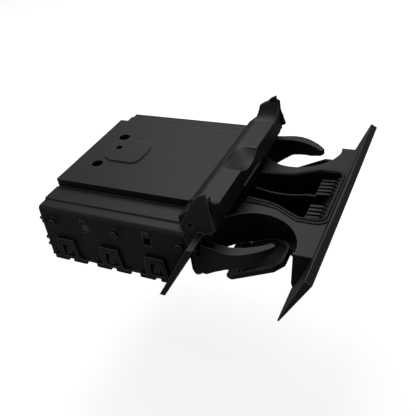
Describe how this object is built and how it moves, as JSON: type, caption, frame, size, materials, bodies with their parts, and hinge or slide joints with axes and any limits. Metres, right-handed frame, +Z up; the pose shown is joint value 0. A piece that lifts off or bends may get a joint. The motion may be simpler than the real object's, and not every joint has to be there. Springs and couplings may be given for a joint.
{
  "type": "car cup holder",
  "caption": "Pull-out dashboard cup holder drawer with swing arms, folding cup floors and a ribbed coin tray, in an open-backed housing with snap loops and an angled bezel.",
  "frame": {"origin": "midway between the two fixing holes, on the flat top face of the housing", "axes": "+Z up out of the top face along the fixing holes, +Y towards the open rear, so the drawer comes out along -Y; X across"},
  "size_m": [0.2436, 0.2795, 0.1008],
  "materials": {
    "black_plastic": "fine matte grain",
    "fascia_plastic": "fine matte grain",
    "tray_plastic": "matte",
    "pale_plastic": "smooth satin",
    "steel": "bright"
  },
  "bodies": {
    "housing": {"housing_cover": "black_plastic", "housing_floor": "black_plastic", "mounting_bezel": "black_plastic", "bezel_screws": "steel", "guide_rails": "pale_plastic", "damper_body": "tray_plastic", "damper_screws": "steel", "latch_body": "tray_plastic", "latch_spring": "steel", "spring_band": "steel", "spring_anchor": "steel"},
    "drawer": {"drawer_body": "black_plastic", "glide_shoes": "pale_plastic", "fascia_panel": "fascia_plastic", "fascia_screws": "steel", "tray_insert": "tray_plastic", "left_arm_pin": "steel", "right_arm_pin": "steel", "left_arm_spring": "steel", "right_arm_spring": "steel", "left_floor_pin": "steel", "right_floor_pin": "steel", "left_floor_spring": "steel", "right_floor_spring": "steel", "damper_rack": "pale_plastic", "latch_striker": "steel", "spring_axle": "steel"},
    "left_arm": {"left_arm": "black_plastic"},
    "right_arm": {"right_arm": "black_plastic"},
    "left_cup_floor": {"left_cup_floor": "black_plastic"},
    "right_cup_floor": {"right_cup_floor": "black_plastic"},
    "damper_pinion": {"damper_pinion": "pale_plastic"},
    "latch_plunger": {"latch_plunger": "pale_plastic"},
    "spring_roll": {"spring_roll": "steel"}
  },
  "joints": [
    {"name": "drawer_slide", "type": "slide", "parent": "housing", "child": "drawer", "axis": [0, 1, 0], "range_m": [0, 0.096], "stiffness_N_per_m": 12, "springref_m": -0.08, "deforming": ["spring_band"]},
    {"name": "left_arm_pivot", "type": "hinge", "parent": "drawer", "child": "left_arm", "pos_m": [-0.089, -0.136, -0.044], "axis": [0, 0, 1], "range_deg": [0, 29]},
    {"name": "right_arm_pivot", "type": "hinge", "parent": "drawer", "child": "right_arm", "pos_m": [0.089, -0.136, -0.044], "axis": [0, 0, 1], "range_deg": [-29, 0]},
    {"name": "left_floor_hinge", "type": "hinge", "parent": "drawer", "child": "left_cup_floor", "pos_m": [-0.065, -0.1666, -0.0572], "axis": [1, 0, 0], "range_deg": [0, 26], "stiffness_Nm_per_rad": 0.02, "springref_deg": -34.38},
    {"name": "right_floor_hinge", "type": "hinge", "parent": "drawer", "child": "right_cup_floor", "pos_m": [0.065, -0.1666, -0.0572], "axis": [1, 0, 0], "range_deg": [0, 26], "stiffness_Nm_per_rad": 0.02, "springref_deg": -34.38},
    {"name": "latch_slide", "type": "slide", "parent": "housing", "child": "latch_plunger", "axis": [0, 1, 0], "range_m": [0, 0.0035], "stiffness_N_per_m": 150, "springref_m": -0.002, "deforming": ["latch_spring"]},
    {"name": "pinion_spin", "type": "hinge", "parent": "housing", "child": "damper_pinion", "pos_m": [0.0283, -0.096, -0.0545], "axis": [0, 0, 1], "range_deg": [0, 920]},
    {"name": "roll_spin", "type": "hinge", "parent": "drawer", "child": "spring_roll", "pos_m": [-0.024, -0.094, -0.04995], "axis": [1, 0, 0], "range_deg": [-746, 0]}
  ],
  "couplings": [
    {"joint": "left_arm_pivot", "follows": "drawer_slide", "rad_per_m": 5.236},
    {"joint": "right_arm_pivot", "follows": "drawer_slide", "rad_per_m": -5.236},
    {"joint": "pinion_spin", "follows": "drawer_slide", "rad_per_m": 166.67},
    {"joint": "roll_spin", "follows": "drawer_slide", "rad_per_m": -135.14}
  ]
}
